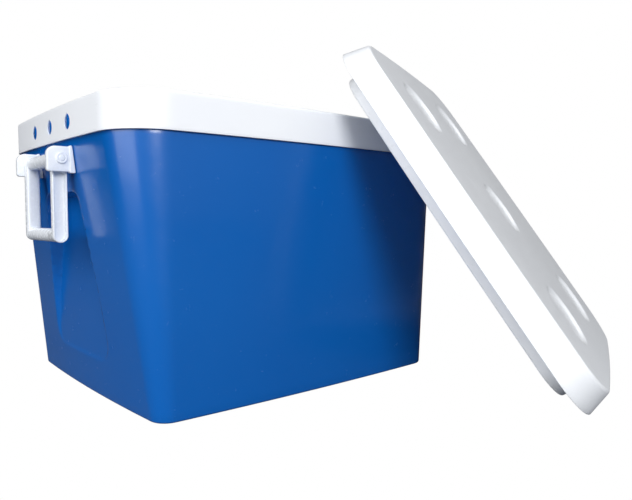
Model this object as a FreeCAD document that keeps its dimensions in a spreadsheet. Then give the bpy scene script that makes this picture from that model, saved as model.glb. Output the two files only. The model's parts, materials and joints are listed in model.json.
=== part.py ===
import FreeCAD, Part
import math
import os
import Sketcher

# A picnic cooler chest: a tapered double-walled tub with a white collar, a loose insulated lid
# that leans on it, and a swinging bail handle on each end.
# Frame: origin at the centre of the base, +Z up, X along the long side, millimetres.

SIZES = {
    # collar, the white rim that joins the tub's two walls
    "collar_length": 490, "collar_width": 390, "collar_corner": 57,
    "collar_height": 39, "collar_wall": 2.5, "deck_thickness": 4, "collar_edge": 3,
    "rim_height": 330,
    # every side of the tub is bowed outwards a little
    "side_bow_radius": 4000, "end_bow_radius": 3000,
    # outer shell, from its base to its shoulder just inside the collar, and its neck above:
    # the tapers are how far each end and side leans out between them
    "end_taper": 33.5, "side_taper": 5, "base_corner": 22, "base_edge": 3,
    "shoulder_gap": 1, "shoulder_overlap": 2, "shell_wall": 3, "neck_step": 4,
    # mouth, set in by the width of the collar's deck, and inner liner, whose floor is set in from
    # the base by the thickness of the foam and walls there
    "deck_end": 26, "deck_side": 18.5, "mouth_corner": 42,
    "ledge_depth": 24, "ledge_width": 14, "liner_wall": 2.5,
    "floor_end": 35.5, "floor_side": 31.5, "floor_corner": 24, "floor_height": 26,
    "foam_gap": 0.3,
    # grip recess in each end of the shell: its depth at its top, its top below the handle's axis
    "recess_depth": 21.87, "recess_drop": 35, "recess_bottom": 44,
    "recess_side": 5.5, "recess_flare": 26,
    "recess_top_radius": 18, "recess_bottom_radius": 24,
    # drop-shaped windows through the collar's ends, and the shell's catches that fill them
    "window_pitch": 58, "window_rise": 9.8, "window_tall": 17.2, "window_radius": 8,
    "window_tip_radius": 1.5, "catch_clearance": 0.3, "catch_set_back": 0.8, "catch_root": 1,
    # lid
    "lid_height": 30, "lid_inset": 11, "lid_corner_growth": 3, "lid_wall": 3, "lid_edge": 3.5,
    "plug_clearance": 2, "plug_depth": 14, "pan_wall": 2.5, "pan_fit": 0.2,
    "lip_width": 18, "panel_height": 9,
    "dish_radius": 38, "dish_depth": 3.5, "dish_along": 150, "dish_across": 78,
    # how the loose lid leans on a corner of the collar: its turn in degrees, and how far above
    # its middle the corner touches it
    "lean_turn": -66.2, "lean_contact": 148.4, "lean_shift": -18.5, "lean_gap": 0.4,
    # handle bails and the lugs they hang in: the axis below the collar and off the wall
    "axis_drop": 21, "axis_gap": 12.63, "bail_drop": 83, "bail_half_width": 52.5,
    "arm_thickness": 10, "arm_radius": 7.75, "bar_radius": 7.5,
    "channel_depth": 5, "channel_rim": 1.8, "channel_start": 19,
    "side_clearance": 0.5, "cheek_thickness": 7, "cheek_reach": 15,
    "cheek_top": 12.5, "cheek_bottom": 14.5, "cheek_big_radius": 9, "cheek_small_radius": 3,
    "pad_thickness": 4.4, "pad_margin": 1.2, "seat_gap": 0.15,
    "pin_radius": 4, "pin_bite": 7, "pin_head_radius": 6.2, "pin_head_thickness": 2.4,
    "pin_head_edge": 1, "pin_boss_radius": 3.1, "pin_boss_height": 0.6,
    "pin_clearance": 0.08, "hole_clearance": 0.02,
    # screws that hold each lug from inside the wall, and the block behind them
    "screw_pitch": 16, "screw_radius": 1.75, "screw_bite": 12, "screw_clearance": 0.25,
    "thread_clearance": 0.05, "screw_head_radius": 3.4, "screw_head_thickness": 2.2,
    "block_depth": 8.87, "block_half_width": 7, "block_half_height": 13, "block_corner": 2,
}

doc = FreeCAD.newDocument("cooler_chest")
sheet = doc.addObject("Spreadsheet::Sheet", "sizes")
for row, (alias, number) in enumerate(SIZES.items(), start=1):
    sheet.set(f"A{row}", alias)
    sheet.set(f"B{row}", str(number))
    sheet.setAlias(f"B{row}", alias)
doc.recompute()


class Term:
    """A length that is known both as a number and as an expression on the sheet."""

    def __init__(self, value, text):
        self.value = value
        self.text = text

    def combine(self, other, sign, value):
        return Term(value, f"({self.text} {sign} {as_term(other).text})")

    def __add__(self, other):
        return self.combine(other, "+", self.value + as_term(other).value)

    def __sub__(self, other):
        return self.combine(other, "-", self.value - as_term(other).value)

    def __mul__(self, other):
        return self.combine(other, "*", self.value * as_term(other).value)

    def __truediv__(self, other):
        return self.combine(other, "/", self.value / as_term(other).value)

    def __neg__(self):
        return self * -1


def as_term(number):
    return number if isinstance(number, Term) else Term(number, str(number))


class Sheet:
    """Reads each named size of the sheet as a Term."""

    def __getattr__(self, alias):
        return Term(float(sheet.get(alias)), "sizes." + alias)


size = Sheet()


# ---------------------------------------------------------------- sketches and features

def new_body(label):
    body = doc.addObject("PartDesign::Body", label)
    body.Label = label
    return body


def new_sketch(body, plane, offset):
    """An empty sketch on one of the body's own planes, moved along the plane's normal."""
    sketch = body.newObject("Sketcher::SketchObject", "outline")
    support = [item for item in body.Origin.OriginFeatures if item.Role == plane][0]
    sketch.AttachmentSupport = [(support, "")]
    sketch.MapMode = "FlatFace"
    normal = -1 if plane == "XZ_Plane" else 1
    sketch.setExpression("AttachmentOffset.Base.z", (as_term(offset) * normal).text)
    return sketch


def constrain(sketch, kind, *details):
    """Adds a constraint. A last Term is bound to the sheet by name."""
    if isinstance(details[-1], Term):
        term = details[-1]
        index = sketch.addConstraint(Sketcher.Constraint(kind, *details[:-1], term.value))
        sketch.renameConstraint(index, f"{kind.lower()}_{index}")
        sketch.setExpression(f"Constraints.{kind.lower()}_{index}", term.text)
    else:
        sketch.addConstraint(Sketcher.Constraint(kind, *details))


START, END, CENTRE = 1, 2, 3
EDGE_STEPS = 3
ORIGIN, X_AXIS, Y_AXIS = (-1, 1), -1, -2


def corner_centre(length, width, corner):
    """Centre of the corner arc in +X +Y. It touches both bows, so it is where two circles cross."""
    reach_side = size.side_bow_radius.value - corner.value
    reach_end = size.end_bow_radius.value - corner.value
    side_offset = size.side_bow_radius.value - width.value / 2
    end_offset = size.end_bow_radius.value - length.value / 2
    gap = math.hypot(side_offset, end_offset)
    along = (reach_side ** 2 - reach_end ** 2 + gap ** 2) / (2 * gap)
    off = math.sqrt(reach_side ** 2 - along ** 2)
    u, v = -end_offset / gap, side_offset / gap
    return along * u + off * v, along * v - off * u - side_offset


def bowed_outline(body, height, length, width, corner):
    """A rounded rectangle whose four sides are arcs of large radius, at a height."""
    sketch = new_sketch(body, "XY_Plane", height)
    side_bow, end_bow = size.side_bow_radius, size.end_bow_radius
    side_offset = side_bow - width / 2
    end_offset = end_bow - length / 2
    corner_x, corner_y = corner_centre(length, width, corner)
    end_angle = math.atan2(corner_y, corner_x + end_offset.value)
    side_angle = math.atan2(corner_y + side_offset.value, corner_x)

    turn = math.pi
    arcs = [(-end_offset.value, 0, end_bow, -end_angle, end_angle),
            (corner_x, corner_y, corner, end_angle, side_angle),
            (0, -side_offset.value, side_bow, side_angle, turn - side_angle),
            (-corner_x, corner_y, corner, turn - side_angle, turn - end_angle),
            (end_offset.value, 0, end_bow, turn - end_angle, turn + end_angle),
            (-corner_x, -corner_y, corner, turn + end_angle, turn + side_angle),
            (0, side_offset.value, side_bow, turn + side_angle, 2 * turn - side_angle),
            (corner_x, -corner_y, corner, 2 * turn - side_angle, 2 * turn - end_angle)]
    for x, y, radius, start, end in arcs:
        circle = Part.Circle(FreeCAD.Vector(x, y, 0), FreeCAD.Vector(0, 0, 1), radius.value)
        sketch.addGeometry(Part.ArcOfCircle(circle, start, end))
    for index in range(8):
        constrain(sketch, "Tangent", index, END, (index + 1) % 8, START)
        constrain(sketch, "Radius", index, arcs[index][2])
    for index, axis in ((0, X_AXIS), (2, Y_AXIS), (4, X_AXIS), (6, Y_AXIS)):
        constrain(sketch, "PointOnObject", index, CENTRE, axis)
    constrain(sketch, "DistanceX", 0, CENTRE, *ORIGIN, end_offset)
    constrain(sketch, "DistanceX", *ORIGIN, 4, CENTRE, end_offset)
    constrain(sketch, "DistanceY", 2, CENTRE, *ORIGIN, side_offset)
    constrain(sketch, "DistanceY", *ORIGIN, 6, CENTRE, side_offset)
    return sketch


def hull_outline(body, plane, offset, circles):
    """The outline of a taut band around circles, listed anticlockwise as (u, v, radius)."""
    sketch = new_sketch(body, plane, offset)
    circles = [tuple(as_term(item) for item in circle) for circle in circles]
    count = len(circles)
    normals = []
    for index, (u, v, radius) in enumerate(circles):
        next_u, next_v, next_radius = circles[(index + 1) % count]
        step_u, step_v = next_u.value - u.value, next_v.value - v.value
        heading = math.atan2(step_v, step_u)
        lean = math.asin((radius.value - next_radius.value) / math.hypot(step_u, step_v))
        normals.append(heading - math.pi / 2 + lean)
    touch = []
    for index, (u, v, radius) in enumerate(circles):
        start = normals[index - 1]
        sweep = (normals[index] - start) % (2 * math.pi)
        circle = Part.Circle(FreeCAD.Vector(u.value, v.value, 0), FreeCAD.Vector(0, 0, 1), radius.value)
        arc = Part.ArcOfCircle(circle, start, start + sweep)
        sketch.addGeometry(arc)
        touch.append((arc.StartPoint, arc.EndPoint))
    for index in range(count):
        sketch.addGeometry(Part.LineSegment(touch[index][1], touch[(index + 1) % count][0]))
    for index, (u, v, radius) in enumerate(circles):
        constrain(sketch, "Tangent", index, END, count + index, START)
        constrain(sketch, "Tangent", count + index, END, (index + 1) % count, START)
        constrain(sketch, "DistanceX", *ORIGIN, index, CENTRE, u)
        constrain(sketch, "DistanceY", *ORIGIN, index, CENTRE, v)
        constrain(sketch, "Radius", index, radius)
    return sketch


def circle_outline(body, plane, offset, circles):
    """Separate circles, each given as (u, v, radius)."""
    sketch = new_sketch(body, plane, offset)
    for index, circle in enumerate(circles):
        u, v, radius = (as_term(item) for item in circle)
        centre = FreeCAD.Vector(u.value, v.value, 0)
        sketch.addGeometry(Part.Circle(centre, FreeCAD.Vector(0, 0, 1), radius.value))
        constrain(sketch, "DistanceX", *ORIGIN, index, CENTRE, u)
        constrain(sketch, "DistanceY", *ORIGIN, index, CENTRE, v)
        constrain(sketch, "Radius", index, radius)
    return sketch


def extrude(body, kind, sketch, length, side="One side", reverse=False):
    """A Pad or a Pocket of the sketch. A pad grows along the plane's normal, a pocket against it."""
    feature = body.newObject("PartDesign::" + kind, kind)
    feature.Profile = sketch
    feature.SideType = side
    feature.Reversed = reverse
    feature.setExpression("Length", as_term(length).text)
    doc.recompute()
    return feature


def pad(body, sketch, length):
    return extrude(body, "Pad", sketch, length)


def slab(body, sketch, thickness):
    """Material on both sides of the sketch's plane."""
    return extrude(body, "Pad", sketch, thickness, side="Symmetric")


def slot(body, sketch, thickness):
    """A cut on both sides of the sketch's plane."""
    return extrude(body, "Pocket", sketch, thickness, side="Symmetric")


def hollow(body, sketch, length):
    """A cut that rises from the sketch's plane."""
    return extrude(body, "Pocket", sketch, length, reverse=True)


def loft(body, kind, lower, upper):
    feature = body.newObject("PartDesign::" + kind, kind)
    feature.Profile = lower
    feature.Sections = [upper]
    feature.Ruled = True
    doc.recompute()
    return feature


def round_edges(body, radius, chosen):
    """A fillet on the edges of the body's tip that the test picks out."""
    base = body.Tip
    names = [f"Edge{index}" for index, edge in enumerate(base.Shape.Edges, start=1) if chosen(edge)]
    feature = body.newObject("PartDesign::Fillet", "Fillet")
    feature.Base = (base, names)
    feature.setExpression("Radius", radius.text)
    doc.recompute()
    return feature


def cut(label, base, tool):
    feature = doc.addObject("Part::Cut", label)
    feature.Label = label
    feature.Base = base
    feature.Tool = tool
    doc.recompute()
    return feature


# ---------------------------------------------------------------- the tub's own surfaces

collar_low = size.rim_height - size.collar_height
deck_low = size.rim_height - size.deck_thickness
shoulder_height = collar_low + size.shoulder_overlap
shoulder_inset = size.collar_wall + size.shoulder_gap
shoulder_length = size.collar_length - shoulder_inset * 2
shoulder_width = size.collar_width - shoulder_inset * 2
shoulder_corner = size.collar_corner - shoulder_inset
base_length = shoulder_length - size.end_taper * 2
base_width = shoulder_width - size.side_taper * 2
neck_inset = shoulder_inset + size.neck_step
shelf_height = shoulder_height - size.shell_wall
ledge_height = size.rim_height - size.ledge_depth
window_low = collar_low + size.window_rise
mouth_length = size.collar_length - size.deck_end * 2
mouth_width = size.collar_width - size.deck_side * 2
floor_length = base_length - size.floor_end * 2
floor_width = base_width - size.floor_side * 2
cavity_length = mouth_length - size.ledge_width * 2
cavity_width = mouth_width - size.ledge_width * 2
cavity_corner = size.mouth_corner - size.ledge_width


def collar_outline(body, height, inset):
    return bowed_outline(body, height, size.collar_length - as_term(inset) * 2,
                         size.collar_width - as_term(inset) * 2, size.collar_corner - inset)


def wall_outline(body, height, inset):
    """The shell's outer outline at a height up to its shoulder, moved inwards by the inset."""
    height, inset = as_term(height), as_term(inset)

    def level(base, shoulder):
        return base + (shoulder - base) * height / shoulder_height

    return bowed_outline(body, height,
                         level(base_length, shoulder_length) - inset * 2,
                         level(base_width, shoulder_width) - inset * 2,
                         level(size.base_corner, shoulder_corner) - inset)


def wall_reach(height):
    """How far the shell's end wall stands from the middle at a height."""
    return base_length / 2 + (shoulder_length - base_length) / 2 * height / shoulder_height


axis_height = collar_low - size.axis_drop
axis_reach = wall_reach(axis_height) + size.axis_gap
recess_top = axis_height - size.recess_drop
recess_plane = wall_reach(recess_top) - size.recess_depth
recess_top_reach = size.bail_half_width + size.recess_side
recess_bottom_reach = recess_top_reach + size.recess_flare
block_plane = wall_reach(axis_height) - size.block_depth
lug_side = size.bail_half_width + size.side_clearance + size.cheek_thickness / 2
screw_levels = [axis_height - size.screw_pitch / 2, axis_height + size.screw_pitch / 2]


def wall_loft(body, kind, low, high, inset):
    """The tapered wall's form between two levels."""
    return loft(body, kind, wall_outline(body, low, inset), wall_outline(body, high, inset))


def grip_recess(body, depth, grow):
    """Cuts the recess in both ends, from a vertical back plane outwards, grown all round."""
    top_v = recess_top - size.recess_top_radius
    low_v = size.recess_bottom + size.recess_bottom_radius
    top_u = recess_top_reach - size.recess_top_radius
    low_u = recess_bottom_reach - size.recess_bottom_radius
    circles = [(-low_u, low_v, size.recess_bottom_radius + grow),
               (low_u, low_v, size.recess_bottom_radius + grow),
               (top_u, top_v, size.recess_top_radius + grow),
               (-top_u, top_v, size.recess_top_radius + grow)]
    thickness = shoulder_length / 2 - depth
    for end in (-1, 1):
        plane = (as_term(depth) + thickness / 2) * end
        slot(body, hull_outline(body, "YZ_Plane", plane, circles), thickness)


def window_circles(place, grow):
    """The round foot and the narrow tip of a drop-shaped window, seen along X."""
    u = size.window_pitch * place
    return [(u, window_low + size.window_radius, size.window_radius + grow),
            (u, window_low + size.window_tall - size.window_tip_radius, size.window_tip_radius + grow)]


def block_circles(side, grow):
    """Four small circles round the place of a backing block, seen along X."""
    u = size.block_half_width - size.block_corner
    v = size.block_half_height - size.block_corner
    radius = size.block_corner + grow
    return [(lug_side * side - u, axis_height - v, radius),
            (lug_side * side + u, axis_height - v, radius),
            (lug_side * side + u, axis_height + v, radius),
            (lug_side * side - u, axis_height + v, radius)]


# ---------------------------------------------------------------- tub

def outer_shell():
    """Blue tapered shell: solid form with its recesses, screw holes and catches, less its inside."""
    form = new_body("shell_form")
    wall_loft(form, "AdditiveLoft", size.base_edge, shoulder_height, 0)
    loft(form, "AdditiveLoft", wall_outline(form, 0, size.base_edge),
         wall_outline(form, size.base_edge, 0))
    pad(form, collar_outline(form, shoulder_height, neck_inset), deck_low - shoulder_height)
    grip_recess(form, recess_plane, 0)
    face = size.collar_length / 2 - size.catch_set_back
    root = size.collar_length / 2 - neck_inset - size.catch_root
    for end in (-1, 1):
        for place in (-1, 0, 1):
            drop = window_circles(place, -size.catch_clearance)
            slab(form, hull_outline(form, "YZ_Plane", (face + root) / 2 * end, drop), face - root)
    holes = [(lug_side * side, level, size.screw_radius + size.screw_clearance)
             for side in (-1, 1) for level in screw_levels]
    slot(form, circle_outline(form, "YZ_Plane", 0, holes), shoulder_length)

    inside = new_body("shell_inside")
    wall_loft(inside, "AdditiveLoft", size.shell_wall, shelf_height, size.shell_wall)
    pad(inside, collar_outline(inside, shelf_height, neck_inset + size.shell_wall),
        deck_low - shelf_height)
    grip_recess(inside, recess_plane - size.shell_wall, size.shell_wall)
    return cut("outer_shell", form, inside)


def liner_loft(body, kind, low, high, grow):
    lower = bowed_outline(body, low, floor_length + as_term(grow) * 2,
                          floor_width + as_term(grow) * 2, size.floor_corner + grow)
    upper = bowed_outline(body, high, cavity_length + as_term(grow) * 2,
                          cavity_width + as_term(grow) * 2, cavity_corner + grow)
    return loft(body, kind, lower, upper)


def mouth_outline(body, height, grow):
    return bowed_outline(body, height, mouth_length + as_term(grow) * 2,
                         mouth_width + as_term(grow) * 2, size.mouth_corner + grow)


def inner_liner():
    """White liner: a tapered tray with a ledge under the mouth that the lid's plug drops into."""
    body = new_body("inner_liner")
    wall = size.liner_wall
    liner_loft(body, "AdditiveLoft", size.floor_height - wall, ledge_height - wall, wall)
    pad(body, mouth_outline(body, ledge_height - wall, wall), deck_low - ledge_height + wall)
    liner_loft(body, "SubtractiveLoft", size.floor_height, ledge_height, 0)
    hollow(body, mouth_outline(body, ledge_height, 0), size.ledge_depth)
    return body


def body_foam():
    """Foam between the shell and the liner, cut away round the recesses and backing blocks."""
    body = new_body("body_foam")
    gap = size.foam_gap
    wall_loft(body, "AdditiveLoft", size.shell_wall, shelf_height - gap, size.shell_wall + gap)
    pad(body, collar_outline(body, shelf_height - gap, neck_inset + size.shell_wall + gap),
        deck_low - shelf_height + gap)
    grip_recess(body, recess_plane - size.shell_wall - gap, size.shell_wall + gap)
    clear = size.liner_wall + gap
    liner_loft(body, "SubtractiveLoft", size.floor_height - size.liner_wall,
               ledge_height - size.liner_wall, clear)
    hollow(body, mouth_outline(body, ledge_height - size.liner_wall, clear), size.ledge_depth)
    head_plane = block_plane - size.screw_head_thickness - gap
    depth = shoulder_length / 2 - head_plane
    for end in (-1, 1):
        for side in (-1, 1):
            plane = (head_plane + depth / 2) * end
            slot(body, hull_outline(body, "YZ_Plane", plane, block_circles(side, gap)), depth)
    return body


def collar():
    """White rim: a band and a flat deck with the mouth. Its windows snap over the shell's catches."""
    body = new_body("collar")
    pad(body, collar_outline(body, collar_low, 0), size.collar_height)
    hollow(body, collar_outline(body, collar_low, size.collar_wall), deck_low - collar_low)
    hollow(body, mouth_outline(body, deck_low, 0), size.deck_thickness)
    top = size.rim_height.value
    round_edges(body, size.collar_edge,
                lambda edge: edge.BoundBox.ZMin > top - 0.01 and on_collar_edge(edge))
    for place in (-1, 0, 1):
        drop = window_circles(place, as_term(0))
        slot(body, hull_outline(body, "YZ_Plane", 0, drop), size.collar_length * 1.1)
    return body


def on_collar_edge(edge):
    """True on the collar's outer outline, false on the mouth."""
    point = edge.valueAt(edge.FirstParameter)
    half_length = mouth_length.value / 2
    half_width = mouth_width.value / 2
    return abs(point.x) > half_length + 1 or abs(point.y) > half_width + 1


# ---------------------------------------------------------------- lid

def lean(feature):
    """Tips a lid piece from its closed place to where the loose lid leans.

    The lid's underside panel rests on a corner of the collar, and the middle of one end of its
    skirt is on the floor. Its length points down the slope, and its top faces up and away.
    """
    turn = math.radians(size.lean_turn.value)
    edge = size.collar_edge.value
    # the slope at which the panel, carried that far up the lid, is level with the collar's edge
    carried = size.collar_length.value / 2 + size.lean_contact.value
    stand_off = size.panel_height.value - size.lean_gap.value - edge
    slope = math.asin((size.rim_height.value - edge) / math.hypot(carried, stand_off))
    slope -= math.atan2(stand_off, carried)
    ahead = FreeCAD.Vector(math.cos(turn), math.sin(turn), 0)
    aside = FreeCAD.Vector(-math.sin(turn), math.cos(turn), 0)
    normal = ahead * math.sin(slope) + FreeCAD.Vector(0, 0, math.cos(slope))

    # the rounded edge of the collar's corner carries the panel where its normal is the lid's
    x, y = corner_centre(size.collar_length, size.collar_width, size.collar_corner)
    support = FreeCAD.Vector(x, -y, size.rim_height.value - edge)
    support += ahead * (size.collar_corner.value - edge) + normal * edge

    rise = math.sin(slope) * size.collar_length.value / 2
    level = normal.dot(support) - size.panel_height.value + size.lean_gap.value
    place = ahead * ((level - math.cos(slope) * rise) / math.sin(slope))
    place += aside * (aside.dot(support) + size.lean_shift.value)
    place.z = rise
    rotation = FreeCAD.Rotation(size.lean_turn.value, math.degrees(slope), 0)
    feature.Placement = FreeCAD.Placement(place, rotation)
    return feature


def lid_outline(body, height, inset):
    """The lid's outline at a height above its rim: its skirt leans in as it rises."""
    height = as_term(height)
    lean_in = size.lid_inset * height / size.lid_height
    inset = as_term(inset) + lean_in
    growth = size.lid_corner_growth * height / size.lid_height
    return bowed_outline(body, height, size.collar_length - inset * 2,
                         size.collar_width - inset * 2, size.collar_corner + growth - inset)


dish_places = [(size.dish_along * i, size.dish_across * j)
               for i, j in ((-1, -1), (-1, 1), (1, -1), (1, 1))] + [(as_term(0), as_term(0))]


def lid_cover():
    """White moulded cover: flared skirt, rounded top edge and five shallow round dishes."""
    body = new_body("lid_cover")
    wall = size.lid_wall
    outlines = [lid_outline(body, 0, 0)]
    for turn in range(EDGE_STEPS + 1):
        angle = math.pi / 2 * turn / EDGE_STEPS
        drop = size.lid_edge * round(1 - math.sin(angle), 6)
        outlines.append(lid_outline(body, size.lid_height - drop,
                                    size.lid_edge * round(1 - math.cos(angle), 6)))
    for lower, upper in zip(outlines, outlines[1:]):
        loft(body, "AdditiveLoft", lower, upper)
    bend = size.lid_height - size.lid_edge
    loft(body, "SubtractiveLoft", lid_outline(body, 0, wall), lid_outline(body, bend, wall))
    loft(body, "SubtractiveLoft", lid_outline(body, bend, wall),
         lid_outline(body, size.lid_height - wall, size.lid_edge))
    backs = [(u, v, size.dish_radius + wall) for u, v in dish_places]
    back_plane = size.lid_height - size.dish_depth - wall
    pad(body, circle_outline(body, "XY_Plane", back_plane, backs), size.dish_depth + wall / 2)
    dishes = [(u, v, size.dish_radius) for u, v in dish_places]
    dish_plane = size.lid_height - size.dish_depth
    hollow(body, circle_outline(body, "XY_Plane", dish_plane, dishes), size.dish_depth * 2)
    return lean(body)


def plug_outline(body, height, inset):
    inset = as_term(inset) + size.plug_clearance
    return bowed_outline(body, height, mouth_length - inset * 2,
                         mouth_width - inset * 2, size.mouth_corner - inset)


def lid_pan():
    """Underside of the lid: a flange inside the skirt, a lip that drops into the mouth, a panel."""
    body = new_body("lid_pan")
    wall, plug, lip = size.pan_wall, size.plug_depth, size.lip_width
    fit = size.lid_wall + size.pan_fit
    loft(body, "AdditiveLoft", lid_outline(body, 0, fit), lid_outline(body, wall, fit))
    pad(body, plug_outline(body, -plug, 0), plug)
    hollow(body, plug_outline(body, wall - plug, wall), plug * 2)
    pad(body, plug_outline(body, -plug, lip - wall), plug + size.panel_height + wall)
    hollow(body, plug_outline(body, -plug, lip), plug + size.panel_height)
    return lean(body)


def lid_foam():
    """Foam that fills the lid between its cover and its pan, down into the lip."""
    body = new_body("lid_foam")
    gap, wall = size.foam_gap, size.pan_wall
    pad(body, plug_outline(body, wall - size.plug_depth, wall + gap), size.plug_depth)
    inset = size.lid_wall + gap
    top = size.lid_height - size.dish_depth - size.lid_wall
    loft(body, "AdditiveLoft", lid_outline(body, wall, inset), lid_outline(body, top, inset))
    hollow(body, plug_outline(body, -size.plug_depth, size.lip_width - wall - gap),
           size.plug_depth + size.panel_height + wall)
    return lean(body)


# ---------------------------------------------------------------- handles

def bail(label, end):
    """One-piece swinging handle: two channelled arms, the bar on its axis and the grip bar."""
    body = new_body(label)
    axis_u = axis_reach * end
    low = axis_height - size.bail_drop
    arm_y = size.bail_half_width - size.arm_thickness / 2
    arm = [(axis_u, axis_height, size.arm_radius), (axis_u, low, size.arm_radius)]
    for side in (-1, 1):
        slab(body, hull_outline(body, "XZ_Plane", arm_y * side, arm), size.arm_thickness)
        if side == -1:
            bars = [(axis_u, axis_height, size.bar_radius), (axis_u, low, size.bar_radius)]
            slab(body, circle_outline(body, "XZ_Plane", 0, bars), arm_y * 2)
    groove_radius = size.arm_radius - size.channel_rim
    groove = [(axis_u, axis_height - size.channel_start, groove_radius),
              (axis_u, low, groove_radius)]
    bore = [(axis_u, axis_height, size.pin_radius + size.pin_clearance)]
    for side in (-1, 1):
        groove_y = (size.bail_half_width - size.channel_depth / 2) * side
        slot(body, hull_outline(body, "XZ_Plane", groove_y, groove), size.channel_depth)
        bore_depth = size.pin_bite + size.pin_clearance
        bore_y = (size.bail_half_width - bore_depth / 2) * side
        slot(body, circle_outline(body, "XZ_Plane", bore_y, bore), bore_depth)
    return body


def lug(label, end, side):
    """Cheek that carries one end of the bail, with a pad seated on the tapered wall."""
    body = new_body(label)
    inside_u = (recess_plane + size.shell_wall) * end
    outer_u = (axis_reach + size.cheek_reach) * end
    big, small = size.cheek_big_radius, size.cheek_small_radius
    top_v, low_v = axis_height + size.cheek_top, axis_height - size.cheek_bottom
    corners = [(outer_u - big * end, top_v - big, big), (inside_u, top_v - small, small),
               (inside_u, low_v + small, small), (outer_u - small * end, low_v + small, small)]
    if end == -1:
        corners.reverse()
    slab(body, hull_outline(body, "XZ_Plane", lug_side * side, corners), size.cheek_thickness)

    margin = size.pad_margin
    wall_u = wall_reach(axis_height)
    pad_u = (wall_u + size.pad_thickness - small) * end
    pad_corners = [(pad_u, top_v + margin - small, small),
                   (inside_u, top_v + margin - small, small),
                   (inside_u, low_v - margin + small, small), (pad_u, low_v - margin + small, small)]
    if end == -1:
        pad_corners.reverse()
    pad_y = (lug_side + margin / 2) * side
    slab(body, hull_outline(body, "XZ_Plane", pad_y, pad_corners), size.cheek_thickness + margin)

    hole = [(axis_reach * end, axis_height, size.pin_radius + size.hole_clearance)]
    slot(body, circle_outline(body, "XZ_Plane", lug_side * side, hole), size.cheek_thickness * 2)
    threads = [(lug_side * side, level, size.screw_radius + size.thread_clearance)
               for level in screw_levels]
    tip = wall_u + size.screw_bite
    slot(body, circle_outline(body, "YZ_Plane", (inside_u * end + tip) / 2 * end, threads),
         tip - inside_u * end)
    wall_loft(body, "SubtractiveLoft", size.shell_wall, shoulder_height, -size.seat_gap)
    return body


def pivot_pin(label, end, side):
    """Pin through a lug's cheek into the bail. Its head has a raised middle."""
    body = new_body(label)
    face = size.bail_half_width + size.side_clearance + size.cheek_thickness
    bottom = size.bail_half_width - size.pin_bite
    axis_u = axis_reach * end
    shank = [(axis_u, axis_height, size.pin_radius)]
    slab(body, circle_outline(body, "XZ_Plane", (face + bottom) / 2 * side, shank), face - bottom)
    head = [(axis_u, axis_height, size.pin_head_radius)]
    head_y = (face + size.pin_head_thickness / 2) * side
    slab(body, circle_outline(body, "XZ_Plane", head_y, head), size.pin_head_thickness)
    rim = (face + size.pin_head_thickness).value
    round_edges(body, size.pin_head_edge,
                lambda edge: abs(edge.BoundBox.YMin) > rim - 0.01 and abs(edge.BoundBox.YMax) > rim - 0.01)
    boss = [(axis_u, axis_height, size.pin_boss_radius)]
    boss_y = (face + size.pin_head_thickness + size.pin_boss_height / 2) * side
    slab(body, circle_outline(body, "XZ_Plane", boss_y, boss), size.pin_boss_height)
    return body


def backing_block(label, end, side, inside):
    """Block behind the wall that spreads the load of a lug's two screws."""
    body = new_body(label + "_form")
    depth = shoulder_length / 2 - block_plane
    plane = (block_plane + depth / 2) * end
    slab(body, hull_outline(body, "YZ_Plane", plane, block_circles(side, 0)), depth)
    holes = [(lug_side * side, level, size.screw_radius + size.screw_clearance)
             for level in screw_levels]
    slot(body, circle_outline(body, "YZ_Plane", plane, holes), depth * 2)
    common = doc.addObject("Part::Common", label)
    common.Label = label
    common.Base = body
    common.Tool = inside
    doc.recompute()
    return common


def lug_screws(label, end, side):
    """The two screws of one lug, as separate solids: head inside the block, tip in the cheek."""
    reach = wall_reach(axis_height) + size.screw_bite - block_plane
    screws = []
    for level in screw_levels:
        parts = []
        for name, start, height, radius in (
                ("shank", block_plane, reach, size.screw_radius),
                ("head", block_plane - size.screw_head_thickness, size.screw_head_thickness,
                 size.screw_head_radius)):
            cylinder = doc.addObject("Part::Cylinder", label + "_" + name)
            cylinder.setExpression("Radius", radius.text)
            cylinder.setExpression("Height", height.text)
            outward = FreeCAD.Rotation(FreeCAD.Vector(0, 1, 0), 90 * end)
            cylinder.Placement = FreeCAD.Placement(FreeCAD.Vector(), outward)
            cylinder.setExpression("Placement.Base.x", (start * end).text)
            cylinder.setExpression("Placement.Base.y", (lug_side * side).text)
            cylinder.setExpression("Placement.Base.z", level.text)
            parts.append(cylinder)
        screw = doc.addObject("Part::Fuse", label + "_screw")
        screw.Base, screw.Tool = parts
        screws.append(screw)
    group = doc.addObject("Part::Compound", label)
    group.Label = label
    group.Links = screws
    doc.recompute()
    return group


def wall_inside():
    """The space just inside the shell's wall, which the backing blocks are shaped to."""
    body = new_body("wall_inside")
    wall_loft(body, "AdditiveLoft", size.shell_wall, shelf_height, size.shell_wall + size.seat_gap)
    return body


# ---------------------------------------------------------------- build, check and write

nodes = [outer_shell(), body_foam(), inner_liner(), collar(), lid_cover(), lid_pan(), lid_foam()]
block_form = wall_inside()
for end_name, end in (("left", -1), ("right", 1)):
    nodes.append(bail(f"{end_name}_bail", end))
    for side_name, side in (("front", -1), ("back", 1)):
        place = f"{end_name}_{side_name}"
        nodes.append(lug(f"{place}_lug", end, side))
        nodes.append(pivot_pin(f"{place}_pivot_pin", end, side))
        nodes.append(backing_block(f"{place}_backing_block", end, side, block_form))
        nodes.append(lug_screws(f"{place}_lug_screws", end, side))
doc.recompute()

for item in doc.Objects:
    if "Invalid" in item.State or "Error" in item.State:
        raise RuntimeError(f"{item.Label} failed to build: {item.State}")
for node in nodes:
    if node.Shape.isNull() or not node.Shape.isValid():
        raise RuntimeError(f"{node.Label} has no valid shape")

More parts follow.
